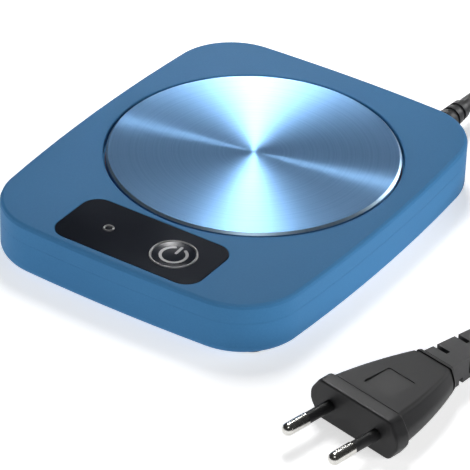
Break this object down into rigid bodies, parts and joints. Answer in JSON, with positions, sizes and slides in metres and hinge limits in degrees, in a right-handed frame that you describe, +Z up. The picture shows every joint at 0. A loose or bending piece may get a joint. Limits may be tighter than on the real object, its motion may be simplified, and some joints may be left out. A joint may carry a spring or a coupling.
{
  "type": "electric mug warmer",
  "caption": "Flat desktop mug warmer: rounded blue housing, round turned-metal heating plate, black control panel with push button and indicator, mains lead with two-pin plug.",
  "frame": {"origin": "on the table, under the middle of the housing", "axes": "+Z up, +Y from the control panel to the back edge, +X to the right seen from the panel"},
  "size_m": [0.1968, 0.2275, 0.02],
  "materials": {
    "shell": "soft-touch blue moulded shell",
    "plate": "pale blue anodised, finely turned",
    "panel": "near-black gloss",
    "button": "near-black gloss",
    "trim": "satin silver",
    "symbol": "pale grey inlay",
    "lens": "smoked",
    "foot": "matt",
    "steel": "zinc plated",
    "gasket": "silicone",
    "mica": "mica",
    "felt": "ceramic felt",
    "board": "green laminate",
    "component": "black moulded",
    "film": "yellow film box",
    "can": "sleeved can",
    "glass": "clear",
    "lamp": "red diffused",
    "white_plastic": "natural nylon",
    "live": "brown insulation",
    "neutral": "blue insulation",
    "heat_wire": "braided glass sleeve",
    "cord": "matt black PVC",
    "plug": "matt charcoal PVC",
    "nickel": "nickel plated brass"
  },
  "bodies": {
    "housing": {"board_screws": "steel", "bottom_cover": "shell", "button_ring": "trim", "control_board": "board", "control_panel": "panel", "controller_chip": "component", "cord_coil": "cord", "cord_tail": "cord", "film_capacitor": "film", "foot_back_left": "foot", "foot_back_right": "foot", "foot_front_left": "foot", "foot_front_right": "foot", "fuse": "glass", "heater_clamp_plate": "steel", "heater_clamp_screws": "steel", "heater_lead_a": "heat_wire", "heater_lead_b": "heat_wire", "heater_link": "heat_wire", "heating_element": "mica", "heating_plate": "plate", "housing_screws": "steel", "indicator_lamp": "lamp", "indicator_lens": "lens", "indicator_ring": "trim", "insulation_pad": "felt", "lead_clamp_bar": "white_plastic", "lead_clamp_screws": "steel", "lead_sheath": "cord", "live_core": "live", "neutral_core": "neutral", "pin_sleeve_left": "plug", "pin_sleeve_right": "plug", "plate_gasket": "gasket", "plug_body": "plug", "plug_pin_left": "nickel", "plug_pin_right": "nickel", "plug_strain_relief": "plug", "power_cord": "cord", "sensor_lead": "white_plastic", "sensor_socket": "white_plastic", "smoothing_capacitor": "can", "strain_relief": "cord", "switch_body": "component", "switch_dome": "steel", "temperature_sensor": "steel", "terminal_block": "white_plastic", "thermal_cutout": "component", "top_shell": "shell", "triac": "component"},
    "power_button": {"power_button_cap": "button", "power_symbol": "symbol", "switch_plunger": "white_plastic"}
  },
  "joints": [
    {"name": "power_button_push", "type": "slide", "parent": "housing", "child": "power_button", "axis": [0, 0, -1], "range_m": [0, 0.0005], "stiffness_N_per_m": 1500, "springref_m": -0.0005}
  ]
}
